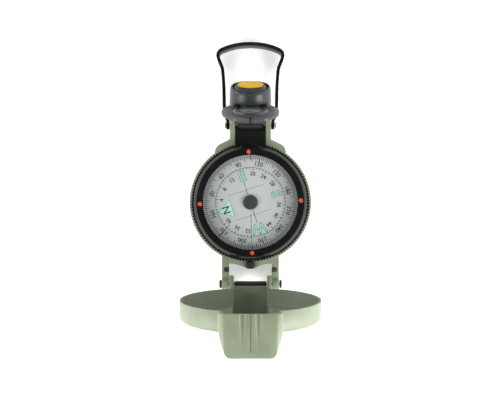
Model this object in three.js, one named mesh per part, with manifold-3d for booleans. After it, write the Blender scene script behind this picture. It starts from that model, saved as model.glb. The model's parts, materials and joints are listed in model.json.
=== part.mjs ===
// A folding sighting compass: an olive plastic base and lid joined by a front hinge, a liquid capsule with a
// floating dial card, a turning bezel, and at the rear a sight plate with a lamp beside a folding thumb loop.
// Millimetres, +Z up. The compass lies on its back with its origin on the base's underside, below the dial's
// centre. +Y runs to the rear sight and -Y to the lid's hinge. The lid stands open at a right angle.
import * as THREE from "three";
import { mergeVertices } from "three/addons/utils/BufferGeometryUtils.js";
import Module from "manifold-3d";

// Driving dimensions
const GAP = 0.3; // clearance between pieces that touch
const RIM_RADIUS = 30.3; // outside of the base and of the lid's dish
const RIM_TOP = 8.5; // height of the base
const FLOOR = 2; // thickness of the base's floor
const FOOT_RADIUS = 26; // flat round face that the base lies on
const WELL_RADIUS = 26.6; // the base's round well
const TOOTH_COUNT = 120;
const TOOTH_TIP = 29.4;
const TOOTH_ROOT = 28.6;
const BEZEL_TOP = 15;
const BEZEL_SHOULDER = 12.6; // where the teeth end and the bevel starts
const BEZEL_FLAT = 26.4; // outer radius of the bezel's flat top
const WINDOW_RADIUS = 23.2;
const DOT_RADIUS = 1;
const DOT_CIRCLE = 24.8;
const BEZEL_TURN = 2; // degrees that the bezel stands turned
const GLASS_RADIUS = 24.6;
const CARD_TOP = 11.1;
const CARD_THICKNESS = 0.5;
const CARD_RADIUS = 24.3;
const CARD_NORTH = 198; // degrees from +X to the card's north mark
const HUB_RADIUS = 3.65;

const LID_AXIS_Y = -40.8;
const LID_AXIS_Z = 8.3;
const LID_RIM = 0.5; // from the hinge axis to the lid's rim
const LID_WALL = 0.8;
const DISH_DEPTH = 8.6;
const BOX_DEPTH = 16.5;
const BOX_END = 75.1; // from the hinge axis to the lid's far end
const BOX_START = 3;
const BOX_HALF_WIDTH = 12.2;
const BOX_HINGE_HALF = 9.4; // the box narrows towards the hinge
const PIN_RADIUS = 0.65;
const PIN_HOLE = PIN_RADIUS + GAP;
const ARM_INNER = 10.9;
const ARM_OUTER = 14.2;
const KNUCKLE_RADIUS = 2.6;

const RAIL_INNER = 7.8;
const RAIL_OUTER = 10.2;
const RAIL_END = 42;
const REAR_AXIS_Y = 39;
const REAR_AXIS_Z = 4.5;

const SIGHT_Y = 43; // centre of the sight plate's upper face
const SIGHT_Z = 25;
const SIGHT_TILT = -64; // degrees about +X, from level to the plate's slope
const SIGHT_RADIUS = 13.6;
const SIGHT_THICKNESS = 1.2;
const LAMP_OFFSET = 10; // from the plate's centre to the lamp's axis
const LAMP_RADIUS = 10;
const LAMP_WALL = 1.2;
const LAMP_GAP = 2.7; // height of the opening between the plate and the lamp's front
const COLLAR_TOP = 9.6;
const COLLAR_SIDE = 9.5; // height of the collar beside the cap
const COLLAR_FRONT = 7.5; // height of the collar in front of the cap
const BUTTON_RADIUS = 6.25;
const BUTTON_TOP = 10.5;

const LOOP_REACH = 80.3; // how far back the thumb loop reaches
const LOOP_THICKNESS = 1.6;

const FINEST = 96; // segments of the lid's dish and the base's bowl
const FINE = 48;
const MEDIUM = 24;
const SMALL = 16;

const wasm = await Module();
wasm.setup();
const rad = THREE.MathUtils.degToRad;

const COLOURS = {
  olive: { color: 0xa8b597, roughness: 0.5, metalness: 0 },
  black: { color: 0x1b1d1c, roughness: 0.25, metalness: 0 },
  grey: { color: 0x3c3e40, roughness: 0.45, metalness: 0 },
  rubber: { color: 0x141514, roughness: 0.8, metalness: 0 },
  steel: { color: 0x2a2c2e, roughness: 0.3, metalness: 0.9 },
  bright: { color: 0xc8c8c4, roughness: 0.3, metalness: 1 },
  white: { color: 0xdfe2e4, roughness: 0.6, metalness: 0 },
  clear: { color: 0xe6eef0, roughness: 0.05, metalness: 0 },
  orange: { color: 0xe8641c, roughness: 0.5, metalness: 0 },
  yellow: { color: 0xf2c60c, roughness: 0.45, metalness: 0 },
  brass: { color: 0xb89a4a, roughness: 0.35, metalness: 1 },
};

// Geometry helpers. Solids are manifold-3d bodies, and geometries are plain three.js ones.
function solidOf(geometry) {
  const bare = geometry.clone();
  bare.deleteAttribute("normal");
  bare.deleteAttribute("uv");
  const merged = mergeVertices(bare, 1e-4);
  const index = merged.index.array;
  const kept = [];
  for (let i = 0; i < index.length; i += 3) {
    const [a, b, c] = [index[i], index[i + 1], index[i + 2]];
    if (a !== b && b !== c && a !== c) kept.push(a, b, c);
  }
  return new wasm.Manifold(
    new wasm.Mesh({
      numProp: 3,
      vertProperties: merged.attributes.position.array,
      triVerts: new Uint32Array(kept),
    }),
  );
}

function geometryOf(solid) {
  const mesh = solid.getMesh();
  const geometry = new THREE.BufferGeometry();
  geometry.setAttribute("position", new THREE.BufferAttribute(mesh.vertProperties, 3));
  geometry.setIndex(new THREE.BufferAttribute(mesh.triVerts, 1));
  const flat = geometry.toNonIndexed();
  flat.computeVertexNormals();
  return flat;
}

function join(...solids) {
  return solids.reduce((whole, piece) => whole.add(piece));
}

function cut(solid, ...tools) {
  return tools.reduce((whole, tool) => whole.subtract(tool), solid);
}

function block(x0, x1, y0, y1, z0, z1) {
  const box = new THREE.BoxGeometry(x1 - x0, y1 - y0, z1 - z0);
  box.translate((x0 + x1) / 2, (y0 + y1) / 2, (z0 + z1) / 2);
  return solidOf(box);
}

// Revolves [radius, height] points about +Z. The points run counter-clockwise or are turned to do so.
function turned(points, segments = FINE) {
  let area = 0;
  points.forEach(([r, z], i) => {
    const [rNext, zNext] = points[(i + 1) % points.length];
    area += r * zNext - rNext * z;
  });
  const ordered = area > 0 ? points : [...points].reverse();
  const onAxis = ordered.some(([r]) => r === 0);
  const start = onAxis ? ordered.findIndex(([r], i) => r === 0 && ordered.at(i - 1)[0] === 0) : 0;
  const line = [...ordered.slice(start), ...ordered.slice(0, start)];
  if (!onAxis) line.push(line[0]);
  const lathe = new THREE.LatheGeometry(line.map(([r, z]) => new THREE.Vector2(r, z)), segments);
  lathe.rotateX(Math.PI / 2);
  return solidOf(lathe);
}

function disc(radius, z0, z1, segments = MEDIUM) {
  return turned([[0, z0], [radius, z0], [radius, z1], [0, z1]], segments);
}

function ring(inner, outer, z0, z1, segments = MEDIUM) {
  return turned([[inner, z0], [outer, z0], [outer, z1], [inner, z1]], segments);
}

// Raises an outline of THREE.Vector2 points, or a Shape, from z0 to z1.
function plate(outline, z0, z1, curveSegments = 6) {
  const points = outline instanceof THREE.Shape ? null : outline.map(([x, y]) => new THREE.Vector2(x, y));
  const shape = points ? new THREE.Shape(points) : outline;
  const body = new THREE.ExtrudeGeometry(shape, { depth: z1 - z0, bevelEnabled: false, curveSegments });
  body.translate(0, 0, z0);
  return solidOf(body);
}

// An outline given as [along Y, up Z], raised along X from x0 to x1.
function sidePlate(outline, x0, x1, curveSegments = 6) {
  const flat = geometryOf(plate(outline, x0, x1, curveSegments));
  const turn = new THREE.Matrix4().makeBasis(
    new THREE.Vector3(0, 1, 0),
    new THREE.Vector3(0, 0, 1),
    new THREE.Vector3(1, 0, 0),
  );
  return solidOf(flat.applyMatrix4(turn));
}

function rod(radius, x0, x1, y, z, segments = SMALL) {
  const body = new THREE.CylinderGeometry(radius, radius, x1 - x0, segments);
  body.rotateZ(Math.PI / 2);
  body.translate((x0 + x1) / 2, y, z);
  return solidOf(body);
}

function mesh(name, colour, solid) {
  const made = new THREE.Mesh(geometryOf(solid), new THREE.MeshStandardMaterial(COLOURS[colour]));
  made.name = name;
  return made;
}

// Base: a round bowl with two arms for the lid's hinge in front and two rails for the sight at the rear.
const WEB_CORNER_Y = -30.6;
const WEB_NOSE_Y = -33.2;
const NOSE_HALF = 1.8;
const SHOULDER_HALF = 17.7;
const SHOULDER_Y = 25.4;
const RAIL_START = 31.4;
const CHANNEL_START = WELL_RADIUS + 0.8;
const CHANNEL_FLOOR = 1.2;
const LINER_TOP = 2;
const BUMPER_Y = -33.6;
const BUMPER_HALF = 1.1;
const BUMPER_IN = ARM_INNER - 0.2;
const BUMPER_OUT = 13.2;
const BUMPER_DEPTH = 3;
const LUG_HALF = 2.4;
const LUG_FRONT = -33.1;
const LUG_BACK = -29.4;
const LUG_TOP = 10;
const LUG_SEAT = 6.5;

function bowl() {
  const side = 4.5; // height where the bowl's flared side meets its upright rim
  return turned([
    [0, 0],
    [FOOT_RADIUS, 0],
    [RIM_RADIUS - 1, side / 2],
    [RIM_RADIUS, side],
    [RIM_RADIUS, RIM_TOP],
    [0, RIM_TOP],
  ], FINEST);
}

function frontOutline() {
  const shape = new THREE.Shape();
  const armEnd = LID_AXIS_Y - KNUCKLE_RADIUS;
  shape.moveTo(ARM_OUTER, 0);
  shape.lineTo(-ARM_OUTER, 0);
  shape.lineTo(-ARM_OUTER, armEnd);
  shape.lineTo(-ARM_INNER, armEnd);
  shape.lineTo(-ARM_INNER, WEB_CORNER_Y - 0.8);
  shape.quadraticCurveTo(-ARM_INNER, WEB_CORNER_Y, -ARM_INNER + 0.8, WEB_CORNER_Y);
  shape.quadraticCurveTo(-NOSE_HALF - 2.5, WEB_CORNER_Y - 0.6, -NOSE_HALF, WEB_NOSE_Y);
  shape.lineTo(NOSE_HALF, WEB_NOSE_Y);
  shape.quadraticCurveTo(NOSE_HALF + 2.5, WEB_CORNER_Y - 0.6, ARM_INNER - 0.8, WEB_CORNER_Y);
  shape.quadraticCurveTo(ARM_INNER, WEB_CORNER_Y, ARM_INNER, WEB_CORNER_Y - 0.8);
  shape.lineTo(ARM_INNER, armEnd);
  shape.lineTo(ARM_OUTER, armEnd);
  return shape;
}

// The rear of the base: rounded shoulders that step in to the two rails.
function rearOutline() {
  const shape = new THREE.Shape();
  shape.moveTo(-SHOULDER_HALF, 0);
  shape.lineTo(SHOULDER_HALF, 0);
  shape.lineTo(SHOULDER_HALF, SHOULDER_Y);
  shape.quadraticCurveTo(SHOULDER_HALF - 0.3, SHOULDER_Y + 2.8, SHOULDER_HALF - 3.3, SHOULDER_Y + 4);
  shape.lineTo(RAIL_OUTER, RAIL_START);
  shape.lineTo(RAIL_OUTER, RAIL_END);
  shape.lineTo(-RAIL_OUTER, RAIL_END);
  shape.lineTo(-RAIL_OUTER, RAIL_START);
  shape.lineTo(-SHOULDER_HALF + 3.3, SHOULDER_Y + 4);
  shape.quadraticCurveTo(-SHOULDER_HALF + 0.3, SHOULDER_Y + 2.8, -SHOULDER_HALF, SHOULDER_Y);
  return shape;
}

function bumperOutline(side, grow) {
  const shape = new THREE.Shape();
  const half = BUMPER_HALF + grow;
  const centre = BUMPER_OUT - BUMPER_HALF;
  shape.moveTo(BUMPER_IN - grow, BUMPER_Y - half);
  shape.lineTo(centre, BUMPER_Y - half);
  shape.absarc(centre, BUMPER_Y, half, -Math.PI / 2, Math.PI / 2);
  shape.lineTo(BUMPER_IN - grow, BUMPER_Y + half);
  if (side > 0) return shape;
  return new THREE.Shape(shape.getPoints(6).map((p) => new THREE.Vector2(-p.x, p.y)).reverse());
}

function lugOutline(grow) {
  const half = LUG_HALF + grow;
  const front = LUG_FRONT - grow;
  const back = LUG_BACK + grow;
  const middle = (front + back) / 2;
  return [
    [-half * 0.6, front],
    [half * 0.6, front],
    [half, middle],
    [half * 0.6, back],
    [-half * 0.6, back],
    [-half, middle],
  ];
}

const SPRING_IN = 27.2;
const SPRING_OUT = 28.4;
const SPRING_Z0 = 7;
const SPRING_Z1 = 8.2;
const SPRING_HALF_ANGLE = 14;

// A flat arc about the dial's axis, centred on +X.
function arcOutline(inner, outer, halfAngle) {
  const shape = new THREE.Shape();
  shape.absarc(0, 0, outer, -rad(halfAngle), rad(halfAngle));
  shape.absarc(0, 0, inner, rad(halfAngle), -rad(halfAngle), true);
  return shape;
}

function baseShell() {
  const knuckle = rod(KNUCKLE_RADIUS, -ARM_OUTER, ARM_OUTER, LID_AXIS_Y, LID_AXIS_Z, 24);
  const knuckleGap = block(-ARM_INNER, ARM_INNER, -46, WEB_NOSE_Y - 1, -1, 12);
  const whole = join(bowl(), plate(frontOutline(), 0, RIM_TOP), plate(rearOutline(), 0, RIM_TOP), knuckle);
  return cut(
    whole,
    knuckleGap,
    disc(WELL_RADIUS, FLOOR, RIM_TOP + 1, FINE),
    block(-RAIL_INNER, RAIL_INNER, CHANNEL_START, RAIL_END + 1, CHANNEL_FLOOR, RIM_TOP + 1),
    rod(PIN_HOLE, -ARM_OUTER - 1, ARM_OUTER + 1, LID_AXIS_Y, LID_AXIS_Z),
    rod(PIN_HOLE, -ARM_OUTER, ARM_OUTER, REAR_AXIS_Y, REAR_AXIS_Z),
    plate(bumperOutline(1, GAP / 2), RIM_TOP - BUMPER_DEPTH, RIM_TOP + 1),
    plate(bumperOutline(-1, GAP / 2), RIM_TOP - BUMPER_DEPTH, RIM_TOP + 1),
    plate(lugOutline(GAP / 2), LUG_SEAT, RIM_TOP + 1),
    plate(
      arcOutline(SPRING_IN - GAP, SPRING_OUT + GAP, SPRING_HALF_ANGLE + 1),
      SPRING_Z0 - GAP,
      RIM_TOP + 1,
      8,
    ),
  );
}

function base() {
  const group = new THREE.Group();
  group.add(mesh("base_shell", "olive", baseShell()));
  for (const [name, side] of [["left", -1], ["right", 1]]) {
    const bumper = plate(bumperOutline(side, 0), RIM_TOP - BUMPER_DEPTH + GAP / 2, RIM_TOP + 0.1);
    group.add(mesh("lid_bumper_" + name, "rubber", bumper));
  }
  group.add(mesh("index_lug", "black", plate(lugOutline(0), LUG_SEAT + GAP / 2, LUG_TOP)));
  const liner = block(
    -RAIL_INNER + GAP,
    RAIL_INNER - GAP,
    CHANNEL_START + GAP,
    RAIL_END - 0.4,
    CHANNEL_FLOOR + GAP,
    LINER_TOP,
  );
  group.add(mesh("channel_liner", "rubber", liner));
  const spring = plate(arcOutline(SPRING_IN, SPRING_OUT, SPRING_HALF_ANGLE), SPRING_Z0, SPRING_Z1, 8);
  group.add(mesh("bezel_click_spring", "bright", spring));
  return group;
}

// Each hinge pin has a head at its left end and a pressed cap at its right end.
function pin(name, colour, reach, y, z, headRadius, headWidth) {
  const group = new THREE.Group();
  const seat = reach + GAP / 2;
  const shaft = rod(PIN_RADIUS, -seat, seat, y, z);
  group.add(mesh(name, colour, join(shaft, rod(headRadius, -seat - headWidth, -seat, y, z, 20))));
  const cap = rod(headRadius, seat + GAP / 2, seat + GAP / 2 + headWidth, y, z, 20);
  group.add(mesh(name + "_cap", colour, cap));
  return group;
}

// Capsule: a closed cup with the card floating on a pivot.
const CUP_RADIUS = 26.2;
const CUP_WALL = 1.3;
const CUP_TOP = 12;
const CUP_FLOOR = 4;
const CAPSULE_GLASS_TOP = 13;
const PIVOT_TIP = 10.4;
const JEWEL_TOP = 11;
const SPIGOT_RADIUS = 1.7;
const SPIGOT_BORE = 0.95;
const MAGNET_TOP = 10.3;
const MAGNET_BOTTOM = 9.3;
const MAGNET_HALF_LENGTH = 9;
const MAGNET_HALF_WIDTH = 2.8;

function capsule() {
  const group = new THREE.Group();
  const inner = CUP_RADIUS - CUP_WALL;
  const cup = turned([
    [0, FLOOR + GAP],
    [CUP_RADIUS, FLOOR + GAP],
    [CUP_RADIUS, CUP_TOP],
    [inner, CUP_TOP],
    [inner, CUP_FLOOR],
    [0, CUP_FLOOR],
  ]);
  group.add(mesh("capsule_cup", "white", cup));
  group.add(mesh("capsule_glass", "clear", disc(CUP_RADIUS, CUP_TOP + GAP, CAPSULE_GLASS_TOP, FINE)));
  const pivot = turned([
    [0, CUP_FLOOR + GAP / 2],
    [2.4, CUP_FLOOR + GAP / 2],
    [2.4, CUP_FLOOR + 1],
    [0.7, CUP_FLOOR + 2],
    [0.6, PIVOT_TIP - 1],
    [0, PIVOT_TIP],
  ], SMALL);
  group.add(mesh("card_pivot", "bright", pivot));
  return group;
}

function card() {
  const group = new THREE.Group();
  const spigotHole = SPIGOT_RADIUS + GAP;
  const card = ring(spigotHole, CARD_RADIUS, CARD_TOP - CARD_THICKNESS, CARD_TOP, FINE);
  group.add(mesh("dial_card", "white", card));
  const hub = turned([
    [SPIGOT_BORE, MAGNET_BOTTOM - GAP],
    [SPIGOT_RADIUS, MAGNET_BOTTOM - GAP],
    [SPIGOT_RADIUS, CARD_TOP + GAP],
    [HUB_RADIUS, CARD_TOP + GAP],
    [HUB_RADIUS, CARD_TOP + 0.9],
    [0, CARD_TOP + 0.9],
    [0, JEWEL_TOP + GAP],
    [SPIGOT_BORE, JEWEL_TOP + GAP],
  ], MEDIUM);
  group.add(mesh("card_hub", "black", hub));
  group.add(mesh("pivot_jewel", "clear", disc(SPIGOT_BORE - 0.15, PIVOT_TIP + GAP, JEWEL_TOP, 12)));
  const bar = cut(
    block(
      -MAGNET_HALF_LENGTH,
      MAGNET_HALF_LENGTH,
      -MAGNET_HALF_WIDTH,
      MAGNET_HALF_WIDTH,
      MAGNET_BOTTOM,
      MAGNET_TOP,
    ),
    disc(spigotHole, MAGNET_BOTTOM - 1, MAGNET_TOP + 1, SMALL),
  );
  group.add(mesh("card_magnet", "steel", bar));
  group.rotation.z = rad(CARD_NORTH);
  return group;
}

// Bezel: a toothed ring that carries the upper glass and four round marks.
const BEZEL_FOOT = RIM_TOP + GAP;
const BEZEL_WALL_INNER = 26.5;
const GLASS_BOTTOM = 13.3;
const GLASS_TOP = 14.4;
const DOT_DEPTH = 0.6;

function teeth() {
  const outline = [];
  for (let i = 0; i < TOOTH_COUNT; i += 1) {
    const tip = (2 * Math.PI * i) / TOOTH_COUNT;
    const root = tip + Math.PI / TOOTH_COUNT;
    outline.push([TOOTH_TIP * Math.cos(tip), TOOTH_TIP * Math.sin(tip)]);
    outline.push([TOOTH_ROOT * Math.cos(root), TOOTH_ROOT * Math.sin(root)]);
  }
  return outline;
}

function bezelRing() {
  const body = turned([
    [BEZEL_WALL_INNER, BEZEL_FOOT],
    [TOOTH_ROOT - 0.5, BEZEL_FOOT],
    [TOOTH_ROOT - 0.5, BEZEL_SHOULDER + 0.3],
    [BEZEL_FLAT, BEZEL_TOP],
    [WINDOW_RADIUS, BEZEL_TOP],
    [WINDOW_RADIUS, GLASS_TOP + GAP],
    [GLASS_RADIUS + GAP, GLASS_TOP + GAP],
    [GLASS_RADIUS + GAP, GLASS_BOTTOM],
    [BEZEL_WALL_INNER, GLASS_BOTTOM],
  ]);
  const crown = cut(
    plate(teeth(), BEZEL_FOOT, BEZEL_SHOULDER),
    disc(BEZEL_WALL_INNER + 0.5, BEZEL_FOOT - 1, BEZEL_SHOULDER + 1, FINE),
  );
  const seatFloor = BEZEL_TOP - DOT_DEPTH + 0.1;
  const seats = [0, 1, 2, 3].map((i) => dotAt(i, DOT_RADIUS + GAP / 2, seatFloor, BEZEL_TOP + 1));
  return cut(join(body, crown), ...seats);
}

function dotAt(i, radius, z0, z1) {
  const angle = (Math.PI / 2) * i;
  return disc(radius, z0, z1, SMALL).translate([
    DOT_CIRCLE * Math.cos(angle),
    DOT_CIRCLE * Math.sin(angle),
    0,
  ]);
}

function bezel() {
  const group = new THREE.Group();
  group.add(mesh("bezel_ring", "black", bezelRing()));
  group.add(mesh("bezel_glass", "clear", disc(GLASS_RADIUS, GLASS_BOTTOM, GLASS_TOP, FINE)));
  for (let i = 0; i < 4; i += 1) {
    const dot = dotAt(i, DOT_RADIUS, BEZEL_TOP - DOT_DEPTH + 0.25, BEZEL_TOP);
    group.add(mesh("bezel_mark_" + (i + 1), "orange", dot));
  }
  group.rotation.z = rad(BEZEL_TURN);
  return group;
}

// Lid, drawn closed: +Y runs from the hinge axis to the far end, and +Z out from the rim.
const LID_CENTRE = -LID_AXIS_Y;
const DISH_FILLET = 2.2;
const BOX_FLOOR_HALF = 7.9;
const BOX_CORNER = 3;
const BOX_FILLET = 2.5;
const BOX_WALL = 1.3;
const EAR_INNER = 8.2;
const EAR_OUTER = 10.5;
const EAR_RADIUS = 2.4;
const EAR_DROP = 4.6;
const SLEEVE_HALF = 7.9;
const SLEEVE_RADIUS = 1.45;
const FLUTE_X = 3;
const FLUTE_DEPTH = 0.6;
const FLUTE_LENGTH = 14.5;
const FLUTE_RADIUS = 1.8;
const SEAM_HALF = 0.2; // fine groove down the middle of the end wall
const SEAM_DEPTH = 0.15;

// The box's section across the lid, shrunk by inset on its sides and floor.
function boxSection(inset, rim) {
  const shape = new THREE.Shape();
  const floor = LID_RIM + BOX_DEPTH - inset;
  const half = BOX_HALF_WIDTH - inset;
  const low = BOX_FLOOR_HALF - inset * 0.6;
  const knee = LID_RIM + 7.5;
  const top = floor - BOX_FILLET;
  shape.moveTo(-half, rim);
  shape.lineTo(half, rim);
  shape.lineTo(half, knee);
  shape.lineTo(low + 2.2, top);
  shape.quadraticCurveTo(low + 1.5, floor, low - 0.6, floor);
  shape.lineTo(-low + 0.6, floor);
  shape.quadraticCurveTo(-low - 1.5, floor, -low - 2.2, top);
  shape.lineTo(-half, knee);
  return shape;
}

// Raises a section given as [x, z] along +Y.
function alongLid(section, y0, y1) {
  const flat = geometryOf(plate(section, -y1, -y0, 5));
  flat.rotateX(Math.PI / 2);
  return solidOf(flat);
}

// The box seen from above: narrow at the hinge, with rounded corners at the far end.
function boxPlan(inset) {
  const shape = new THREE.Shape();
  const half = BOX_HALF_WIDTH - inset;
  const hingeHalf = BOX_HINGE_HALF - inset;
  const start = BOX_START + inset;
  const end = BOX_END - inset;
  const corner = BOX_CORNER - inset / 2;
  const widest = LID_CENTRE + RIM_RADIUS - 5;
  shape.moveTo(-hingeHalf, start);
  shape.lineTo(hingeHalf, start);
  shape.lineTo(hingeHalf + 0.4, LID_CENTRE);
  shape.lineTo(half, widest);
  shape.absarc(half - corner, end - corner, corner, 0, Math.PI / 2);
  shape.absarc(-half + corner, end - corner, corner, Math.PI / 2, Math.PI);
  shape.lineTo(-half, widest);
  shape.lineTo(-hingeHalf - 0.4, LID_CENTRE);
  return shape;
}

function lidBox(inset, rim) {
  const section = alongLid(boxSection(inset, rim), BOX_START - 1, BOX_END + 1);
  return section.intersect(plate(boxPlan(inset), rim, LID_RIM + BOX_DEPTH + 1));
}

function dish(radius, depth, from, fillet) {
  const floor = LID_RIM + depth;
  const points = [[0, from], [radius, from], [radius, floor - fillet]];
  for (const turn of [30, 60]) {
    const a = rad(turn);
    points.push([radius - fillet + fillet * Math.cos(a), floor - fillet + fillet * Math.sin(a)]);
  }
  points.push([radius - fillet, floor], [0, floor]);
  return turned(points, FINEST).translate([0, LID_CENTRE, 0]);
}

// A shallow flute in the lid's end wall, deepest at the rim and fading out towards the box's floor.
function flute(x) {
  const cone = new THREE.CylinderGeometry(FLUTE_RADIUS - FLUTE_DEPTH, FLUTE_RADIUS, FLUTE_LENGTH, MEDIUM);
  cone.rotateX(Math.PI / 2);
  const axisY = BOX_END + FLUTE_RADIUS - FLUTE_DEPTH;
  return solidOf(cone).translate([x, axisY, LID_RIM + FLUTE_LENGTH / 2 - 0.1]);
}

function ear(side) {
  const shape = new THREE.Shape();
  shape.moveTo(0, -EAR_DROP);
  shape.absarc(2.6, -EAR_DROP + 1.6, 1.6, -Math.PI / 2, 0);
  shape.lineTo(BOX_START + 2, LID_RIM + 4);
  shape.lineTo(BOX_START, LID_RIM + 6);
  shape.lineTo(BOX_START - 1.2, LID_RIM + 1.8);
  shape.absarc(0, 0, EAR_RADIUS, Math.PI / 3, Math.PI * 1.1);
  shape.lineTo(-EAR_RADIUS + 0.3, -EAR_DROP + 1.6);
  const [x0, x1] = side > 0 ? [EAR_INNER, EAR_OUTER] : [-EAR_OUTER, -EAR_INNER];
  return sidePlate(shape, x0, x1);
}

function lidShell() {
  const outer = join(
    dish(RIM_RADIUS, DISH_DEPTH, LID_RIM, DISH_FILLET),
    lidBox(0, LID_RIM),
  );
  const hollow = join(
    dish(RIM_RADIUS - LID_WALL, DISH_DEPTH - LID_WALL, LID_RIM - 1, DISH_FILLET - 1),
    lidBox(BOX_WALL, LID_RIM - 1),
  );
  const seam = block(-SEAM_HALF, SEAM_HALF, BOX_END - SEAM_DEPTH, BOX_END + 1, -1, FLUTE_LENGTH);
  const shell = cut(outer, hollow, flute(-FLUTE_X), flute(FLUTE_X), seam);
  const hinged = join(shell, ear(-1), ear(1));
  return cut(hinged, rod(PIN_HOLE, -ARM_INNER, ARM_INNER, 0, 0));
}

function lid() {
  const group = new THREE.Group();
  group.add(mesh("lid_shell", "olive", lidShell()));
  const sleeve = cut(
    rod(SLEEVE_RADIUS, -SLEEVE_HALF, SLEEVE_HALF, 0, 0, 20),
    rod(PIN_HOLE, -SLEEVE_HALF - 1, SLEEVE_HALF + 1, 0, 0),
  );
  group.add(mesh("lid_sleeve", "black", sleeve));
  group.position.set(0, LID_AXIS_Y, LID_AXIS_Z);
  group.rotation.x = Math.PI / 2;
  return group;
}

// Rear sight, drawn level: +Z is the plate's axis and -Y is the edge with the sighting slot.
const LENS_RADIUS = 6.4;
const BOSS_INNER = LENS_RADIUS + GAP;
const BOSS_OUTER = 7.9;
const BOSS_HEIGHT = 1.3;
const SLOT_HALF = 0.6;
const TAB_HALF = 6.5;
const TAB_REACH = 0.8;
const KNUCKLE_HALF = 6.4;
const SIGHT_KNUCKLE = 2.2;

// Where the rear hinge axis lies in the level drawing.
function rearAxisInSight() {
  const turn = -rad(SIGHT_TILT);
  const y = REAR_AXIS_Y - SIGHT_Y;
  const z = REAR_AXIS_Z - SIGHT_Z;
  return [y * Math.cos(turn) - z * Math.sin(turn), y * Math.sin(turn) + z * Math.cos(turn)];
}

function lampDisc(radius, z0, z1, segments = MEDIUM) {
  return disc(radius, z0, z1, segments).translate([0, LAMP_OFFSET, 0]);
}

// The lamp's outer wall, with a floor above the open front and a rounded collar about the cap.
function lampBarrel() {
  const inner = LAMP_RADIUS - LAMP_WALL;
  const seat = CAP_OUTER + GAP;
  const wall = turned([
    [inner, -SIGHT_THICKNESS],
    [LAMP_RADIUS, -SIGHT_THICKNESS],
    [LAMP_RADIUS, 1],
    [LAMP_RADIUS - 0.25, COLLAR_FRONT - 0.4],
    [LAMP_RADIUS - 0.45, COLLAR_TOP - 0.9],
    [LAMP_RADIUS - 0.85, COLLAR_TOP - 0.2],
    [seat + 0.2, COLLAR_TOP],
    [seat, COLLAR_TOP - 0.1],
    [seat, CAP_BASE - GAP],
    [inner, CAP_BASE - GAP],
    [inner, LAMP_GAP + LAMP_WALL],
    [0, LAMP_GAP + LAMP_WALL],
    [0, LAMP_GAP],
    [inner, LAMP_GAP],
  ], 40);
  const slope = new THREE.Shape(
    [
      [0, COLLAR_SIDE],
      [0, COLLAR_TOP + 1],
      [-SIGHT_RADIUS, COLLAR_TOP + 1],
      [-SIGHT_RADIUS, COLLAR_SIDE - ((COLLAR_SIDE - COLLAR_FRONT) * SIGHT_RADIUS) / LAMP_RADIUS],
    ].map(([y, z]) => new THREE.Vector2(y, z)),
  );
  return cut(wall, sidePlate(slope, -SIGHT_RADIUS, SIGHT_RADIUS)).translate([0, LAMP_OFFSET, 0]);
}

function sightFrame() {
  const [axisY, axisZ] = rearAxisInSight();
  const under = -SIGHT_THICKNESS;
  const legHalf = 1.3;
  const legShape = new THREE.Shape(
    [
      [axisY - legHalf, axisZ],
      [axisY + legHalf, axisZ],
      [axisY + legHalf, under + 0.1],
      [axisY - 3 * legHalf, under + 0.1],
    ].map(([y, z]) => new THREE.Vector2(y, z)),
  );
  const boss = turned([
    [0, -0.2],
    [BOSS_OUTER + 0.8, -0.2],
    [BOSS_OUTER, 0.4],
    [BOSS_OUTER - 0.3, BOSS_HEIGHT],
    [0, BOSS_HEIGHT],
  ], 28);
  const windowHalf = LAMP_RADIUS * Math.sin(rad(LAMP_WINDOW_ANGLE));
  const windowBack = LAMP_OFFSET - LAMP_RADIUS * Math.cos(rad(LAMP_WINDOW_ANGLE));
  const barrel = cut(
    lampBarrel(),
    block(-windowHalf, windowHalf, -SIGHT_RADIUS, windowBack, under - 1, LAMP_GAP),
  );
  const whole = join(
    disc(SIGHT_RADIUS, under, 0, 60),
    lampDisc(LAMP_RADIUS, under, 0, 36),
    block(-TAB_HALF, TAB_HALF, -SIGHT_RADIUS - TAB_REACH, 0, under, 0),
    boss,
    barrel,
    sidePlate(legShape, -KNUCKLE_HALF, KNUCKLE_HALF),
    rod(SIGHT_KNUCKLE, -KNUCKLE_HALF, KNUCKLE_HALF, axisY, axisZ, 20),
  );
  return cut(
    whole,
    disc(BOSS_INNER, -0.6, BOSS_HEIGHT + 0.1, 28),
    disc(BOSS_INNER - 0.8, under - 1, 0, 28),
    block(-SLOT_HALF, SLOT_HALF, -SIGHT_RADIUS - 2, -BOSS_OUTER - 1.4, under - 1, 1),
    disc(LED_RADIUS + GAP, LAMP_GAP - 1, LAMP_GAP + LAMP_WALL + 0.1, SMALL).translate([0, LED_Y, 0]),
    rod(PIN_HOLE, -KNUCKLE_HALF - 1, KNUCKLE_HALF + 1, axisY, axisZ),
  );
}

// Lamp parts, in order from the barrel's floor to the push button.
const LAMP_WINDOW_ANGLE = 52;
const BOARD_BOTTOM = LAMP_GAP + LAMP_WALL + 0.2;
const BOARD_TOP = BOARD_BOTTOM + 0.4;
const BOARD_RADIUS = LAMP_RADIUS - LAMP_WALL - GAP;
const CELL_RADIUS = 8;
const CELL_BOTTOM = BOARD_TOP + 0.15;
const CELL_TOP = CELL_BOTTOM + 1.2;
const LEAF_BOTTOM = CELL_TOP + 0.12;
const LEAF_TOP = LEAF_BOTTOM + 0.2;
const BUTTON_TRAVEL = 0.5;
const BUTTON_BASE = LEAF_TOP + BUTTON_TRAVEL + 0.1;
const CAP_INNER = BUTTON_RADIUS + GAP;
const CAP_OUTER = 8.3;
const CAP_BASE = LEAF_TOP + 0.15;
const CAP_EDGE = 8.3;
const CAP_TOP = 10.1;
const LED_RADIUS = 1.5;
const LED_Y = 2.6;

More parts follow.
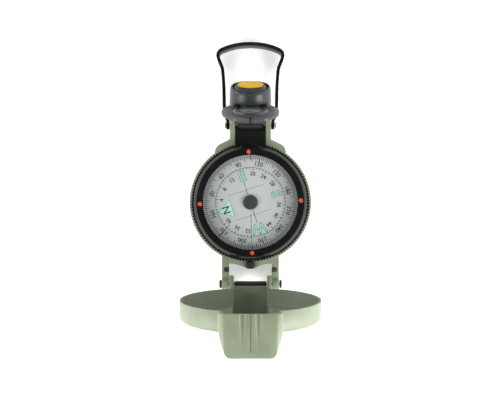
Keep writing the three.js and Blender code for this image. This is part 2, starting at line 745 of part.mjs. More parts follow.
function lampCap() {
  const ringBody = turned([
    [CAP_INNER, CAP_BASE],
    [CAP_OUTER, CAP_BASE],
    [CAP_OUTER, CAP_EDGE],
    [BUTTON_RADIUS + 0.6, CAP_TOP],
    [CAP_INNER, CAP_TOP],
  ], 32);
  const tick = block(-0.18, 0.18, -CAP_OUTER + 0.35, -CAP_OUTER + 1.1, CAP_EDGE, CAP_TOP);
  return cut(ringBody, tick);
}

function lampButton() {
  return turned([
    [0, BUTTON_BASE],
    [BUTTON_RADIUS, BUTTON_BASE],
    [BUTTON_RADIUS, BUTTON_TOP - 0.45],
    [BUTTON_RADIUS - 0.4, BUTTON_TOP - 0.2],
    [BUTTON_RADIUS - 2.4, BUTTON_TOP - 0.05],
    [0, BUTTON_TOP],
  ], 28);
}

function contactLeaf() {
  const hoop = ring(4.6, 7, LEAF_BOTTOM, LEAF_TOP, MEDIUM);
  return join(hoop, block(-5.5, 5.5, -1.2, 1.2, LEAF_BOTTOM, LEAF_TOP));
}

// A plano-convex lens: flat below, with a shallow dome above its edge.
const LENS_BACK = -0.45;
const LENS_EDGE = 0.3;
const LENS_DOME = 0.95;
const LENS_STEPS = 4;

function lens() {
  const dome = Array.from({ length: LENS_STEPS + 1 }, (_, i) => {
    const share = 1 - i / LENS_STEPS;
    return [LENS_RADIUS * share, LENS_EDGE + LENS_DOME * (1 - share * share)];
  });
  return turned([[0, LENS_BACK], [LENS_RADIUS, LENS_BACK], ...dome], MEDIUM);
}

function led() {
  const foot = BOARD_BOTTOM - 0.1;
  const tip = LAMP_GAP - 0.6;
  return turned([
    [0, foot],
    [LED_RADIUS, foot],
    [LED_RADIUS, tip + 1],
    [LED_RADIUS * 0.8, tip + 0.4],
    [0, tip],
  ], SMALL).translate([0, LED_Y, 0]);
}

function sight() {
  const group = new THREE.Group();
  group.add(mesh("sight_frame", "grey", sightFrame()));
  group.add(mesh("sight_lens", "clear", lens()));
  group.add(mesh("lamp_led", "clear", led()));
  const lamp = new THREE.Group();
  lamp.add(mesh("lamp_board", "black", disc(BOARD_RADIUS, BOARD_BOTTOM, BOARD_TOP)));
  lamp.add(mesh("coin_cell", "bright", disc(CELL_RADIUS, CELL_BOTTOM, CELL_TOP)));
  lamp.add(mesh("contact_leaf", "brass", contactLeaf()));
  lamp.add(mesh("lamp_cap", "grey", lampCap()));
  lamp.add(mesh("lamp_button", "yellow", lampButton()));
  lamp.position.y = LAMP_OFFSET;
  group.add(lamp);
  group.position.set(0, SIGHT_Y, SIGHT_Z);
  group.rotation.x = rad(SIGHT_TILT);
  return group;
}

// Thumb loop: a flat band bent to a bow, standing on its edge, with an eye at each end for the rear pin.
const EYE_X = 11.3;
const EYE_RADIUS = 2.2;
const BAND_LOW = 1.5;
const BAND_HIGH = 3.2;
const NECK_Y = 41; // end of the straight stretch behind each eye
const NECK_BEND = [13, 44];
const WAIST = [13.2, 49];
const WAIST_PULL = 60;
const FLARE_START = [14.1, 67.5];
const FLARE_END = [15.9, 72];
const CORNER = [17.3, 75]; // the band's widest bend pulls towards this
const BOW_START = [14.3, 76.6];
const BOW_PULL = 8;
const BAND_STEP_Y = 66; // the band is low in front of this and high behind it
const TRIM_FRONT_Y = 30;
const TRIM_HALF = 20; // wider than the loop

// One side of the loop's line, from the eye to the middle of the bow.
function loopLine() {
  const v = ([x, y]) => new THREE.Vector2(x, y);
  const middle = LOOP_REACH - LOOP_THICKNESS / 2;
  const neck = [EYE_X, NECK_Y];
  const side = new THREE.CurvePath();
  side.add(new THREE.LineCurve(v([EYE_X, REAR_AXIS_Y]), v(neck)));
  side.add(new THREE.QuadraticBezierCurve(v(neck), v(NECK_BEND), v(WAIST)));
  side.add(new THREE.QuadraticBezierCurve(v(WAIST), v([WAIST[0], WAIST_PULL]), v(FLARE_START)));
  side.add(new THREE.LineCurve(v(FLARE_START), v(FLARE_END)));
  side.add(new THREE.QuadraticBezierCurve(v(FLARE_END), v(CORNER), v(BOW_START)));
  side.add(new THREE.QuadraticBezierCurve(v(BOW_START), v([BOW_PULL, middle]), v([0, middle])));
  return side.curves.flatMap((curve, i) => curve.getPoints(curve.isLineCurve ? 1 : 4).slice(i ? 1 : 0));
}

function thumbLoop() {
  const half = loopLine();
  const line = [...half, ...half.slice(0, -1).reverse().map((p) => new THREE.Vector2(-p.x, p.y))];
  const sides = [-1, 1].map((side) =>
    line.map((p, i) => {
      const along = line[Math.min(i + 1, line.length - 1)].clone().sub(line[Math.max(i - 1, 0)]).normalize();
      return [p.x - (side * along.y * LOOP_THICKNESS) / 2, p.y + (side * along.x * LOOP_THICKNESS) / 2];
    }),
  );
  const outline = [...sides[0], ...sides[1].reverse()];
  const band = plate(outline, REAR_AXIS_Z - BAND_HIGH, REAR_AXIS_Z + BAND_HIGH);
  const trimTop = block(-TRIM_HALF, TRIM_HALF, TRIM_FRONT_Y, BAND_STEP_Y, REAR_AXIS_Z + BAND_LOW, TRIM_HALF);
  const trimLow = block(-TRIM_HALF, TRIM_HALF, TRIM_FRONT_Y, BAND_STEP_Y, -TRIM_HALF, REAR_AXIS_Z - BAND_LOW);
  const eyes = [-1, 1].map((side) => {
    const x = side * EYE_X;
    return rod(EYE_RADIUS, x - LOOP_THICKNESS / 2, x + LOOP_THICKNESS / 2, REAR_AXIS_Y, REAR_AXIS_Z, 20);
  });
  return cut(
    join(cut(band, trimTop, trimLow), ...eyes),
    rod(PIN_HOLE, -EYE_X - 2, EYE_X + 2, REAR_AXIS_Y, REAR_AXIS_Z),
  );
}

const compass = new THREE.Group();
compass.add(base());
compass.add(pin("lid_pin", "black", ARM_OUTER, LID_AXIS_Y, LID_AXIS_Z, 2, 1.1));
compass.add(pin("rear_pin", "brass", EYE_X + LOOP_THICKNESS / 2, REAR_AXIS_Y, REAR_AXIS_Z, 1.5, 0.5));
compass.add(capsule());
compass.add(card());
compass.add(bezel());
compass.add(lid());
compass.add(sight());
compass.add(mesh("thumb_loop", "steel", thumbLoop()));

export default compass;
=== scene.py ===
"""Looks for a folding sighting compass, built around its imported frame.

The case lies on its back on a pale floor with its lid standing open, and the camera looks straight down on
the dial. Lengths are in metres. MM turns millimetres into metres.
"""

import math

import bmesh
import bpy
from mathutils import Matrix, Vector
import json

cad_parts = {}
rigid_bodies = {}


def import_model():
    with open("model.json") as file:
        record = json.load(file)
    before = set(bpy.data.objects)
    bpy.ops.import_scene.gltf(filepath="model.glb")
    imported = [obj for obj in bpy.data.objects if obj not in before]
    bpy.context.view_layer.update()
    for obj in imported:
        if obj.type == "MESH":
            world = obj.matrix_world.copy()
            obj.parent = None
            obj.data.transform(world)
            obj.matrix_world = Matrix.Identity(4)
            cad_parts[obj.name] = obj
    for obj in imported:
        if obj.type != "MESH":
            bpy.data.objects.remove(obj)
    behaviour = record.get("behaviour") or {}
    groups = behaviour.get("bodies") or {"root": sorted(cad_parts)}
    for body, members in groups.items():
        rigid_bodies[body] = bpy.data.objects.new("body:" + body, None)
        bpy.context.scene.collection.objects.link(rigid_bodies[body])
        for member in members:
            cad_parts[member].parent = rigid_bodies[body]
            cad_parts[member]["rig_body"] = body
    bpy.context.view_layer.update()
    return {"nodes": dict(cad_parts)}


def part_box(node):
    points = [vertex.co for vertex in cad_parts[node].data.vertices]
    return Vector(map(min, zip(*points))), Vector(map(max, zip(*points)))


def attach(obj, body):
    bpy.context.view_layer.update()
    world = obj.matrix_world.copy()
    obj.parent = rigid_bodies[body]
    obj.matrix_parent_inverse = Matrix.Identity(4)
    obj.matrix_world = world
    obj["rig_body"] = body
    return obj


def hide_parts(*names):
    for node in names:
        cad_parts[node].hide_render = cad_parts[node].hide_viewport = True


MM = 0.001

# Camera and stage
CAMERA_AT = (-0.2 * MM, 1.13 * MM, 300 * MM)
CAMERA_LENS = 42.05
SENSOR_WIDTH = 36
FLOOR_HALF = 1.2
FLOOR_DROP = 0.1 * MM
FLOOR_GLOW = 0.3
SKY_STRENGTH = 0.75
SKY_DIM_AT = 0.9  # how far up the sky reaches its dimmest
SKY_OVERHEAD = 0.12
LIGHTS = (  # name, place, aim, size, energy
    ("left_softbox", (-0.40, -0.24, 0.24), (0, -0.03, 0.03), (0.30, 0.30), 2.4),
    ("right_softbox", (0.40, -0.24, 0.24), (0, -0.03, 0.03), (0.30, 0.30), 3.5),
    ("left_strip", (-0.34, 0.10, 0.16), (0, 0, 0.01), (0.10, 0.40), 0.7),
    ("right_strip", (0.34, 0.10, 0.16), (0, 0, 0.01), (0.10, 0.40), 0.5),
    ("back_softbox", (0.0, 0.50, 0.42), (0, 0.02, 0.02), (0.5, 0.25), 0.6),
)

# Dial card, in millimetres and degrees. Bearings run clockwise from the card's north mark.
CARD_NORTH = 198  # from +X, as the card lies at rest
TENS = 36
TICKS_PER_TEN = 4
DEGREE_TICKS = (21.4, 23.6)
TEN_TICKS = (20.4, 23.6)
NUMBER_RADIUS = 19.2
NUMBER_HEIGHT = 2.15
MIL_CIRCLE = 17.3
MIL_TICK = 0.75
MIL_LONG_TICK = 1.35
MILS = 64  # hundreds of mils in a turn
MIL_NUMBERS = [4, 8, 12, 20, 24, 28, 36, 40, 44, 52, 56, 60]
MIL_NUMBER_RADIUS = 14.15
MIL_NUMBER_HEIGHT = 1.95
LETTER_RADIUS = 13.3
LETTER_HEIGHT = 4.9
NORTH_LETTER_HEIGHT = 3.6
NORTH_APEX = 17.0
NORTH_BASE = 10.3
NORTH_SPREAD = 26
NORTH_LETTER_RADIUS = 12.3
CARDINALS = ((90, "E"), (180, "S"), (270, "W"))
AXIS_LINE = (4.0, 10.9)
SIDE_LINE_OFFSET = 6.4
SIDE_LINE_HALF = 9.2
INK_LIFT = 0.02
TICK_WIDTH = 0.32
CIRCLE_WIDTH = 0.2
AXIS_LINE_WIDTH = 0.24
SIDE_LINE_WIDTH = 0.14
NUMBER_BOLD = 0.05
LETTER_BOLD = 0.28
CORE_BOLD = -0.05
NORTH_LETTER_BOLD = 0.07
CORE_INSET = 0.3  # how far the north mark's pale core stands in from its edge
BEZEL_LINES = ((-90, 5.6, 0.24), (-135, 15.0, 0.3))  # angle, inner end and width
CAPSULE_LINE = (90, 21.0, 0.36)
LINE_OUTER = 23.1
WELD = 0.002 * MM
FLAT_ANGLE = math.radians(0.6)
EDGE_ANGLE = math.radians(28)
SPLIT_ANGLE = math.radians(32)
HINGE_BLOCK_REACH = 12 * MM
HINGE_BLOCK_HALF = 7 * MM
SIGHT_RISE = math.radians(26)  # the lamp's axis, up from level
# The slot's sides and the lamp's inside are painted black as painted shade; the lamp's wall takes dark grey.
SLOT_REACH = 0.7 * MM
SLOT_FACE_AREA = 6 * MM * MM  # the slot's own faces are smaller than this
LAMP_INSIDE = 8.9 * MM
LAMP_OUTSIDE = 10.3 * MM
LAMP_FOOT = -5 * MM  # the wall's foot, along the axis from the middle of the coin cell
# These two pick the lid's inside faces that take its painted shade.
LID_INWARD = 0.35  # how squarely a face must look in to count as inside
LID_RIM_DEPTH = 0.6 * MM
BEZEL_TURN = 2  # degrees that the bezel stands turned at rest

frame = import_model()
nodes = frame["nodes"]


def corner_box(name):
    """A CAD node's lowest and highest corners."""
    low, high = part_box(name)
    return Vector(low), Vector(high)


# ---------------------------------------------------------------------------------------------------------
# Materials
# ---------------------------------------------------------------------------------------------------------


class Shader:
    """A Principled material with helpers for procedural colour, roughness and bump."""

    def __init__(self, name, **settings):
        self.material = bpy.data.materials.new(name)
        self.material.use_nodes = True
        self.tree = self.material.node_tree
        self.bsdf = self.tree.nodes["Principled BSDF"]
        self.place = self.tree.nodes.new("ShaderNodeTexCoord").outputs["Object"]
        for key, value in settings.items():
            self.bsdf.inputs[key.replace("_", " ")].default_value = value

    def link(self, output, socket):
        self.tree.links.new(output, socket)

    def noise(self, size, detail=3.0, stretch=None):
        """Noise whose features are about size metres across."""
        node = self.tree.nodes.new("ShaderNodeTexNoise")
        node.inputs["Scale"].default_value = 1 / size
        node.inputs["Detail"].default_value = detail
        source = self.place
        if stretch:
            mapping = self.tree.nodes.new("ShaderNodeMapping")
            mapping.inputs["Scale"].default_value = stretch
            self.link(source, mapping.inputs["Vector"])
            source = mapping.outputs["Vector"]
        self.link(source, node.inputs["Vector"])
        return node.outputs["Fac"]

    def ramp(self, factor, stops):
        node = self.tree.nodes.new("ShaderNodeValToRGB")
        elements = node.color_ramp.elements
        while len(elements) < len(stops):
            elements.new(0.5)
        for element, (at, colour) in zip(elements, stops):
            element.position = at
            element.color = (*colour, 1)
        self.link(factor, node.inputs["Fac"])
        return node.outputs["Color"]

    def span(self, factor, low, high):
        node = self.tree.nodes.new("ShaderNodeMapRange")
        node.inputs["To Min"].default_value = low
        node.inputs["To Max"].default_value = high
        self.link(factor, node.inputs["Value"])
        return node.outputs["Result"]

    def mix(self, factor, first, second):
        node = self.tree.nodes.new("ShaderNodeMix")
        node.data_type = "RGBA"
        self.link(factor, node.inputs["Factor"])
        self.link(first, node.inputs["A"])
        self.link(second, node.inputs["B"])
        return node.outputs["Result"]

    def colour(self, output):
        self.link(output, self.bsdf.inputs["Base Color"])

    def roughness(self, output):
        self.link(output, self.bsdf.inputs["Roughness"])

    def bump(self, height, strength, distance):
        node = self.tree.nodes.new("ShaderNodeBump")
        node.inputs["Strength"].default_value = strength
        node.inputs["Distance"].default_value = distance
        self.link(height, node.inputs["Height"])
        self.link(node.outputs["Normal"], self.bsdf.inputs["Normal"])


def shade(colour, factor):
    return tuple(channel * factor for channel in colour)


def moulded_plastic(
    name, colour, roughness, grain=0.35 * MM, depth=0.02 * MM, variation=0.06, shine=0.5
):
    """Injection-moulded plastic: cloudy colour, uneven gloss, a fine grain and rubbed patches."""
    look = Shader(name, Specular_IOR_Level=shine)
    cloud = look.noise(9 * MM, 4)
    body = look.ramp(cloud, [(0.35, shade(colour, 1 - variation)), (0.65, shade(colour, 1 + variation))])
    speck = look.noise(1.1 * MM, 6)
    rubbed = look.ramp(speck, [(0.60, (0, 0, 0)), (0.74, (0.35, 0.35, 0.35))])
    pale = look.ramp(speck, [(0.0, shade(colour, 1.16)), (1.0, shade(colour, 1.22))])
    look.colour(look.mix(rubbed, body, pale))
    look.roughness(look.span(look.noise(4 * MM, 5), roughness - 0.07, roughness + 0.09))
    look.bump(look.noise(grain, 2), 0.35, depth)
    return look.material


def glossy_plastic(name, colour, roughness):
    """Polished plastic with hairline scratches that run unevenly across it."""
    look = Shader(name, Coat_Weight=0.12, Coat_Roughness=0.06, Specular_IOR_Level=0.27)
    cloud = look.noise(6 * MM, 4)
    look.colour(look.ramp(cloud, [(0.3, shade(colour, 0.8)), (0.7, shade(colour, 1.3))]))
    scratch = look.noise(0.5 * MM, 3, stretch=(1, 0.08, 1))
    look.roughness(look.span(scratch, roughness - 0.04, roughness + 0.1))
    look.bump(look.noise(2.5 * MM, 2), 0.12, 0.02 * MM)
    return look.material


def metal(name, colour, roughness, brushed=(1, 0.05, 1)):
    look = Shader(name, Metallic=1.0)
    streak = look.noise(0.4 * MM, 4, stretch=brushed)
    look.colour(look.ramp(streak, [(0.3, shade(colour, 0.82)), (0.7, shade(colour, 1.12))]))
    look.roughness(look.span(streak, roughness - 0.06, roughness + 0.12))
    look.bump(streak, 0.15, 0.01 * MM)
    return look.material


def lacquered_steel(name):
    """Spring steel under black lacquer: it shines, with worn grey specks."""
    look = Shader(name, Metallic=0.0, Coat_Weight=0.0, Coat_Roughness=0.1, Specular_IOR_Level=0.12)
    speck = look.noise(0.9 * MM, 6)
    black = look.ramp(look.noise(5 * MM), [(0.3, (0.005, 0.005, 0.004)), (0.7, (0.010, 0.010, 0.009))])
    bare = look.ramp(speck, [(0.0, (0.06, 0.06, 0.06)), (1.0, (0.09, 0.09, 0.09))])
    look.colour(look.mix(look.ramp(speck, [(0.66, (0, 0, 0)), (0.74, (0.6, 0.6, 0.6))]), black, bare))
    look.roughness(look.span(speck, 0.16, 0.34))
    look.bump(look.noise(1.2 * MM, 3), 0.15, 0.02 * MM)
    return look.material


def rubber(name, colour):
    look = Shader(name)
    fine = look.noise(0.3 * MM, 5)
    look.colour(look.ramp(fine, [(0.3, shade(colour, 0.8)), (0.7, shade(colour, 1.25))]))
    look.roughness(look.span(look.noise(2 * MM, 4), 0.62, 0.85))
    look.bump(fine, 0.4, 0.03 * MM)
    return look.material


def card_paper(name):
    """The printed card: a pale silvery ground with a faint fibre and slow shading."""
    look = Shader(name)
    cloud = look.noise(14 * MM, 2)
    ground = look.ramp(cloud, [(0.3, (0.45, 0.47, 0.47)), (0.7, (0.51, 0.53, 0.53))])
    fleck = look.noise(0.25 * MM, 4)
    light = look.ramp(fleck, [(0, (0.53, 0.55, 0.55)), (1, (0.59, 0.61, 0.61))])
    look.colour(look.mix(look.span(fleck, 0.0, 0.35), ground, light))
    look.roughness(look.span(cloud, 0.42, 0.55))
    look.bump(fleck, 0.08, 0.01 * MM)
    return look.material


def ink(name, colour):
    look = Shader(name)
    patch = look.noise(0.8 * MM, 4)
    look.colour(look.ramp(patch, [(0.3, shade(colour, 0.85)), (0.7, shade(colour, 1.2))]))
    look.roughness(look.span(patch, 0.5, 0.65))
    return look.material


def clear_glass(name, tint, alpha):
    """Thin clear acrylic: mostly see-through, with a faint cast and slightly wavy gloss."""
    look = Shader(name, Alpha=alpha, IOR=1.49)
    wave = look.noise(12 * MM, 2)
    look.colour(look.ramp(wave, [(0.3, shade(tint, 0.96)), (0.7, tint)]))
    look.roughness(look.span(look.noise(3 * MM, 5), 0.02, 0.07))
    look.bump(wave, 0.03, 0.05 * MM)
    return look.material


def lens_glass(name):
    look = Shader(name, Transmission_Weight=0.9, IOR=1.5)
    haze = look.noise(2 * MM, 4)
    look.colour(look.ramp(haze, [(0.3, (0.78, 0.84, 0.88)), (0.7, (0.9, 0.94, 0.96))]))
    look.roughness(look.span(haze, 0.02, 0.08))
    return look.material


OLIVE = (0.232, 0.270, 0.178)
GREY = (0.052, 0.058, 0.062)
MATERIALS = {
    "olive": moulded_plastic("olive_plastic", OLIVE, 0.42),
    # The lid's inside: the olive darkened as painted shade, and rougher.
    "olive_painted_shade": moulded_plastic("olive_plastic_painted_shade", shade(OLIVE, 0.72), 0.55),
    "olive_dark": moulded_plastic("olive_plastic_base", shade(OLIVE, 0.98), 0.46),
    "black": moulded_plastic("black_plastic", (0.018, 0.019, 0.018), 0.38, variation=0.2),
    "gloss": glossy_plastic("black_gloss", (0.006, 0.006, 0.006), 0.14),
    "grey": moulded_plastic("grey_plastic", GREY, 0.3, 0.25 * MM, 0.01 * MM, shine=0.36),
    "lamp": moulded_plastic("grey_plastic_lamp", shade(GREY, 0.6), 0.32, 0.25 * MM, 0.01 * MM, shine=0.3),
    "rubber": rubber("black_rubber", (0.02, 0.022, 0.016)),
    "lacquer": lacquered_steel("lacquered_steel"),
    "steel": metal("bright_steel", (0.62, 0.62, 0.6), 0.28),
    "brass": metal("worn_brass", (0.62, 0.44, 0.16), 0.34),
    "card": card_paper("card_ground"),
    "cup": moulded_plastic("pale_plastic", (0.5, 0.52, 0.52), 0.5),
    "glass": clear_glass("dial_glass", (0.22, 0.24, 0.25), 0.03),
    "lens": lens_glass("sight_lens_glass"),
    "orange": ink("orange_paint", (0.52, 0.055, 0.004)),
    "yellow": moulded_plastic("yellow_plastic", (0.80, 0.47, 0.002), 0.5, variation=0.05, shine=0.18),
    "ink": ink("black_ink", (0.016, 0.016, 0.017)),
    "green_ink": ink("green_ink", (0.035, 0.30, 0.17)),
    "pale_green": ink("pale_green_ink", (0.40, 0.68, 0.56)),
}

NODE_LOOKS = {
    "base_shell": "olive_dark",
    "lid_shell": "olive",
    "lid_bumper_left": "rubber",
    "lid_bumper_right": "rubber",
    "index_lug": "black",
    # The channel liner's black stands in as painted shade on the channel's floor under the sight.
    "channel_liner": "rubber",
    "bezel_click_spring": "steel",
    "lid_pin": "black",
    "lid_pin_cap": "black",
    "lid_sleeve": "black",
    "rear_pin": "brass",
    "rear_pin_cap": "brass",
    "capsule_cup": "cup",
    "capsule_glass": "glass",
    "card_pivot": "steel",
    "dial_card": "card",
    "card_hub": "black",
    "pivot_jewel": "lens",
    "card_magnet": "steel",
    "bezel_ring": "gloss",
    "bezel_glass": "glass",
    "bezel_mark_1": "orange",
    "bezel_mark_2": "orange",
    "bezel_mark_3": "orange",
    "bezel_mark_4": "orange",
    "sight_frame": "grey",
    "sight_lens": "lens",
    "lamp_led": "lens",
    "lamp_board": "black",
    "coin_cell": "steel",
    "contact_leaf": "brass",
    "lamp_cap": "lamp",
    "lamp_button": "yellow",
    "thumb_loop": "lacquer",
}


def dress(obj, look):
    obj.data.materials.clear()
    obj.data.materials.append(MATERIALS[look])


# ---------------------------------------------------------------------------------------------------------
# Mesh helpers
# ---------------------------------------------------------------------------------------------------------


def new_piece(name, mesh, look, body):
    """A finished object in the row frame that rides on a body."""
    obj = bpy.data.objects.new(name, mesh)
    bpy.context.scene.collection.objects.link(obj)
    dress(obj, look)
    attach(obj, body)
    return obj


def refined(node, round_off, second=None):
    """A CAD node's shape with welded, smooth-shaded faces and rounded edges, shown in its place."""
    source = nodes[node]
    work = bmesh.new()
    work.from_mesh(source.data)
    bmesh.ops.remove_doubles(work, verts=work.verts, dist=WELD)
    bmesh.ops.dissolve_limit(
        work, angle_limit=FLAT_ANGLE, verts=work.verts, edges=work.edges, delimit={"NORMAL"}
    )
    for face in work.faces:
        face.smooth = True
    mesh = bpy.data.meshes.new(node + "_skin")
    work.to_mesh(mesh)
    work.free()
    obj = new_piece(node + "_skin", mesh, NODE_LOOKS[node], source["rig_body"])
    bevel = obj.modifiers.new("rounded edges", "BEVEL")
    bevel.width = round_off
    bevel.segments = 2
    bevel.limit_method = "ANGLE"
    bevel.angle_limit = EDGE_ANGLE
    bevel.harden_normals = False
    bevel.use_clamp_overlap = True
    bevel.miter_outer = "MITER_ARC"
    if second:
        second(obj)
    split = obj.modifiers.new("crisp edges", "EDGE_SPLIT")
    split.split_angle = SPLIT_ANGLE
    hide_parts(node)
    return obj


def shaded_inside(obj):
    """Gives the faces that look into the dish and the box of the upright lid a darker, rougher olive; the
    darker colour is painted shade.
    """
    low, high = corner_box("lid_shell")
    middle = (low + high) / 2
    obj.data.materials.append(MATERIALS["olive_painted_shade"])
    for face in obj.data.polygons:
        inward = Vector((middle.x - face.center.x, 0, middle.z - face.center.z)).normalized()
        below_rim = face.center.y < high.y - LID_RIM_DEPTH
        looks_out = face.normal.y > LID_INWARD
        looks_across = face.normal.dot(inward) > LID_INWARD and abs(face.normal.y) < 1 - LID_INWARD
        if below_rim and (looks_out or looks_across):
            face.material_index = 1


def sight_plastics(obj):
    """Makes the sight's knuckle black; paints the lamp's inside and the slot's sides black as painted shade,
    so the lens and the slot read dark; makes the lamp's wall dark grey.
    """
    low, high = corner_box("rear_pin")
    axis = (low + high) / 2
    cell_low, cell_high = corner_box("coin_cell")
    cell = (cell_low + cell_high) / 2
    lamp_axis = Vector((0, math.cos(SIGHT_RISE), math.sin(SIGHT_RISE)))
    obj.data.materials.append(MATERIALS["black"])
    obj.data.materials.append(MATERIALS["lamp"])
    for face in obj.data.polygons:
        away = face.center - axis
        beside = face.center - cell
        along = beside.dot(lamp_axis)
        from_lamp = (beside - lamp_axis * along).length
        in_block = math.hypot(away.y, away.z) < HINGE_BLOCK_REACH and abs(away.x) < HINGE_BLOCK_HALF
        # Black on the slot's sides and the lamp's inside is painted shade, so the slot and the lens read
        # dark.
        slot_side_shade = abs(face.center.x) < SLOT_REACH and face.area < SLOT_FACE_AREA
        lamp_inside_shade = from_lamp < LAMP_INSIDE and abs(face.normal.dot(lamp_axis)) < 0.5
        if in_block or slot_side_shade or lamp_inside_shade:
            face.material_index = 1
        elif LAMP_INSIDE < from_lamp < LAMP_OUTSIDE and along > LAMP_FOOT:
            face.material_index = 2


# ---------------------------------------------------------------------------------------------------------
# Printing on the dial and the glass
# ---------------------------------------------------------------------------------------------------------


def on_circle(radius, angle):
    """A point at radius millimetres and angle degrees from +X, in millimetres."""
    return Vector((radius * math.cos(math.radians(angle)), radius * math.sin(math.radians(angle)), 0))


def bearing(degrees):
    return CARD_NORTH - degrees


class Print:
    """Flat ink shapes, gathered into one thin mesh. Sizes are in millimetres about the dial's centre."""

    THICKNESS = 0.02

    def __init__(self):
        self.work = bmesh.new()

    def polygon(self, points):
        low = [self.work.verts.new((p[0], p[1], 0)) for p in points]
        high = [self.work.verts.new((p[0], p[1], self.THICKNESS)) for p in points]
        self.work.faces.new(high)
        self.work.faces.new(list(reversed(low)))
        for i, here in enumerate(low):
            j = (i + 1) % len(low)
            self.work.faces.new((here, low[j], high[j], high[i]))

    def line(self, start, end, width):
        along = (end - start).normalized()
        side = Vector((-along.y, along.x, 0)) * width / 2
        self.polygon([start - side, end - side, end + side, start + side])

    def tick(self, angle, inner, outer, width):
        self.line(on_circle(inner, angle), on_circle(outer, angle), width)

    def circle(self, radius, width, segments=120):
        step = 360 / segments
        for i in range(segments):
            a, b = i * step, (i + 1) * step
            inner, outer = radius - width / 2, radius + width / 2
            self.polygon([on_circle(inner, a), on_circle(outer, a), on_circle(outer, b), on_circle(inner, b)])

    def words(self, text, radius, angle, height, bold=0.0):
        """Text whose top faces away from the centre."""
        curve = bpy.data.curves.new("lettering", "FONT")
        curve.body = text
        curve.size = height * 1.4
        curve.align_x = "CENTER"
        curve.align_y = "CENTER"
        curve.extrude = self.THICKNESS / 2
        curve.offset = bold
        curve.resolution_u = 4
        letters = bpy.data.objects.new("lettering", curve)
        bpy.context.scene.collection.objects.link(letters)
        bpy.context.view_layer.update()
        mesh = letters.to_mesh()
        turn = Matrix.Rotation(math.radians(angle - 90), 4, "Z")
        mesh.transform(Matrix.Translation(on_circle(radius, angle)) @ turn)
        self.work.from_mesh(mesh)
        letters.to_mesh_clear()
        bpy.data.objects.remove(letters)
        bpy.data.curves.remove(curve)

    def finish(self, name, height, look, body, slot):
        """Places the print at a height given in metres."""
        bmesh.ops.remove_doubles(self.work, verts=self.work.verts, dist=0.0005)
        bmesh.ops.scale(self.work, vec=(MM, MM, MM), verts=self.work.verts)
        bmesh.ops.translate(self.work, vec=(0, 0, height), verts=self.work.verts)
        bmesh.ops.recalc_face_normals(self.work, faces=self.work.faces)
        mesh = bpy.data.meshes.new(name)
        self.work.to_mesh(mesh)
        self.work.free()
        return new_piece(name, mesh, look, body)


def card_scales():
    """The degree ring, its numbers, and the ring of mils inside it."""
    ink_print = Print()
    for i in range(TENS * TICKS_PER_TEN):
        inner, outer = DEGREE_TICKS if i % TICKS_PER_TEN else TEN_TICKS
        ink_print.tick(bearing(i * 10 / TICKS_PER_TEN), inner, outer, TICK_WIDTH)
    for degrees in range(30, 361, 30):
        ink_print.words(str(degrees), NUMBER_RADIUS, bearing(degrees), NUMBER_HEIGHT, bold=NUMBER_BOLD)
    ink_print.circle(MIL_CIRCLE, CIRCLE_WIDTH)
    for mil in range(MILS):
        length = MIL_LONG_TICK if mil % 4 == 0 else MIL_TICK
        ink_print.tick(bearing(mil * 360 / MILS), MIL_CIRCLE - length, MIL_CIRCLE, TICK_WIDTH)
    for mil in MIL_NUMBERS:
        angle = bearing(mil * 360 / MILS)
        ink_print.words(str(mil), MIL_NUMBER_RADIUS, angle, MIL_NUMBER_HEIGHT, bold=NUMBER_BOLD)
    for degrees in (90, 270):
        ink_print.tick(bearing(degrees), *AXIS_LINE, AXIS_LINE_WIDTH)
    north = on_circle(1, bearing(0))
    side = on_circle(1, bearing(90))
    for sign in (-1, 1):
        middle = side * sign * SIDE_LINE_OFFSET
        ink_print.line(middle - north * SIDE_LINE_HALF, middle + north * SIDE_LINE_HALF, SIDE_LINE_WIDTH)
    return ink_print


def north_triangle(shrink):
    """The north mark's corners: its point faces out."""
    apex = on_circle(NORTH_APEX - shrink * 1.9, bearing(0))
    base = NORTH_BASE + shrink * 0.5
    spread = NORTH_SPREAD - shrink * 7
    return [apex, on_circle(base, bearing(spread)), on_circle(base, bearing(-spread))]


def dial_printing():
    """Ink in layers: black scales, green letters and the north mark, their pale cores, and the dark N."""
    top = corner_box("dial_card")[1].z + INK_LIFT * MM
    layer = Print.THICKNESS * 1.5 * MM
    card_scales().finish("dial_print", top, "ink", "floating_card", "card_print")
    outline = Print()
    outline.polygon(north_triangle(0))
    core = Print()
    core.polygon(north_triangle(CORE_INSET))
    for degrees, letter in CARDINALS:
        outline.words(letter, LETTER_RADIUS, bearing(degrees), LETTER_HEIGHT, bold=LETTER_BOLD)
        core.words(letter, LETTER_RADIUS, bearing(degrees), LETTER_HEIGHT, bold=CORE_BOLD)
    outline.finish("dial_letters", top, "green_ink", "floating_card", "card_print")
    core.finish("letter_cores", top + layer, "pale_green", "floating_card", "card_print")
    north = Print()
    north.words("N", NORTH_LETTER_RADIUS, bearing(0), NORTH_LETTER_HEIGHT, bold=NORTH_LETTER_BOLD)
    north.finish("north_letter", top + 2 * layer, "ink", "floating_card", "card_print")


def glass_printing():
    """Index lines under the turning glass, and the fixed index on the capsule's glass."""
    turning = Print()
    for angle, inner, width in BEZEL_LINES:
        turning.tick(angle + BEZEL_TURN, inner, LINE_OUTER, width)
    low = corner_box("bezel_glass")[0].z - 3 * INK_LIFT * MM
    turning.finish("bezel_index_lines", low, "ink", "bezel", "black_gloss")
    fixed = Print()
    angle, inner, width = CAPSULE_LINE
    fixed.tick(angle, inner, LINE_OUTER, width)
    high = corner_box("capsule_glass")[1].z + INK_LIFT * MM
    fixed.finish("capsule_index", high, "ink", "case", "black_gloss")


# ---------------------------------------------------------------------------------------------------------
# Stage
# ---------------------------------------------------------------------------------------------------------


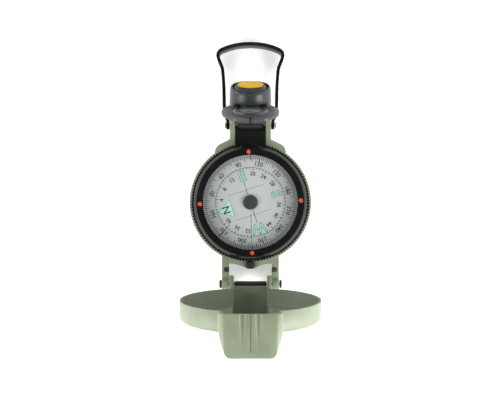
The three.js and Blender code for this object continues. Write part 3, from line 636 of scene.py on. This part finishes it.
def floor_material():
    look = Shader("floor_white")
    cloud = look.noise(0.2, 2)
    look.colour(look.ramp(cloud, [(0.3, (0.93, 0.93, 0.93)), (0.7, (0.95, 0.95, 0.95))]))
    look.roughness(look.span(cloud, 0.75, 0.85))
    look.bsdf.inputs["Emission Color"].default_value = (1, 1, 1, 1)
    look.bsdf.inputs["Emission Strength"].default_value = FLOOR_GLOW
    return look.material


def floor():
    work = bmesh.new()
    half = FLOOR_HALF
    corners = ((-half, -half), (half, -half), (half, half), (-half, half))
    work.faces.new([work.verts.new((x, y, 0)) for x, y in corners])
    mesh = bpy.data.meshes.new("floor")
    work.to_mesh(mesh)
    work.free()
    obj = bpy.data.objects.new("floor", mesh)
    bpy.context.scene.collection.objects.link(obj)
    obj.data.materials.append(floor_material())
    obj.location.z = -FLOOR_DROP


def area_light(name, at, look_at, size, energy):
    data = bpy.data.lights.new(name, "AREA")
    data.shape = "RECTANGLE"
    data.size, data.size_y = size
    data.energy = energy
    obj = bpy.data.objects.new(name, data)
    bpy.context.scene.collection.objects.link(obj)
    obj.location = at
    obj.rotation_euler = (Vector(look_at) - Vector(at)).to_track_quat("-Z", "Y").to_euler()


def studio():
    """Soft light from both sides and the back, under a sky that is dim straight overhead."""
    world = bpy.data.worlds.new("studio")
    world.use_nodes = True
    bpy.context.scene.world = world
    tree = world.node_tree
    place = tree.nodes.new("ShaderNodeTexCoord").outputs["Generated"]
    height = tree.nodes.new("ShaderNodeSeparateXYZ")
    ramp = tree.nodes.new("ShaderNodeValToRGB")
    ramp.color_ramp.elements[0].position = 0.0
    ramp.color_ramp.elements[0].color = (1, 1, 1, 1)
    ramp.color_ramp.elements[1].position = SKY_DIM_AT
    ramp.color_ramp.elements[1].color = (SKY_OVERHEAD, SKY_OVERHEAD, SKY_OVERHEAD, 1)
    tree.links.new(place, height.inputs["Vector"])
    tree.links.new(height.outputs["Z"], ramp.inputs["Fac"])
    background = tree.nodes["Background"]
    background.inputs["Strength"].default_value = SKY_STRENGTH
    tree.links.new(ramp.outputs["Color"], background.inputs["Color"])
    for light in LIGHTS:
        area_light(*light)


def camera():
    data = bpy.data.cameras.new("camera")
    data.sensor_width = SENSOR_WIDTH
    data.lens = CAMERA_LENS
    data.clip_start = 0.01
    obj = bpy.data.objects.new("camera", data)
    bpy.context.scene.collection.objects.link(obj)
    obj.location = CAMERA_AT
    bpy.context.scene.camera = obj


camera()
floor()
studio()
bpy.context.scene.view_settings.view_transform = "Standard"

for node, look in NODE_LOOKS.items():
    dress(nodes[node], look)
ROUNDED = (  # nodes and how far their edges are rounded off
    ("base_shell", 0.25 * MM),
    ("bezel_ring", 0.12 * MM),
    ("lamp_cap", 0.15 * MM),
    ("lamp_button", 0.12 * MM),
    ("thumb_loop", 0.25 * MM),
    ("index_lug", 0.2 * MM),
    ("card_hub", 0.1 * MM),
    ("lid_sleeve", 0.12 * MM),
    ("lid_pin", 0.2 * MM),
    ("lid_pin_cap", 0.2 * MM),
    ("lid_bumper_left", 0.2 * MM),
    ("lid_bumper_right", 0.2 * MM),
)
for node, width in ROUNDED:
    refined(node, width)
refined("lid_shell", 0.25 * MM, second=shaded_inside)
refined("sight_frame", 0.15 * MM, second=sight_plastics)
dial_printing()
glass_printing()
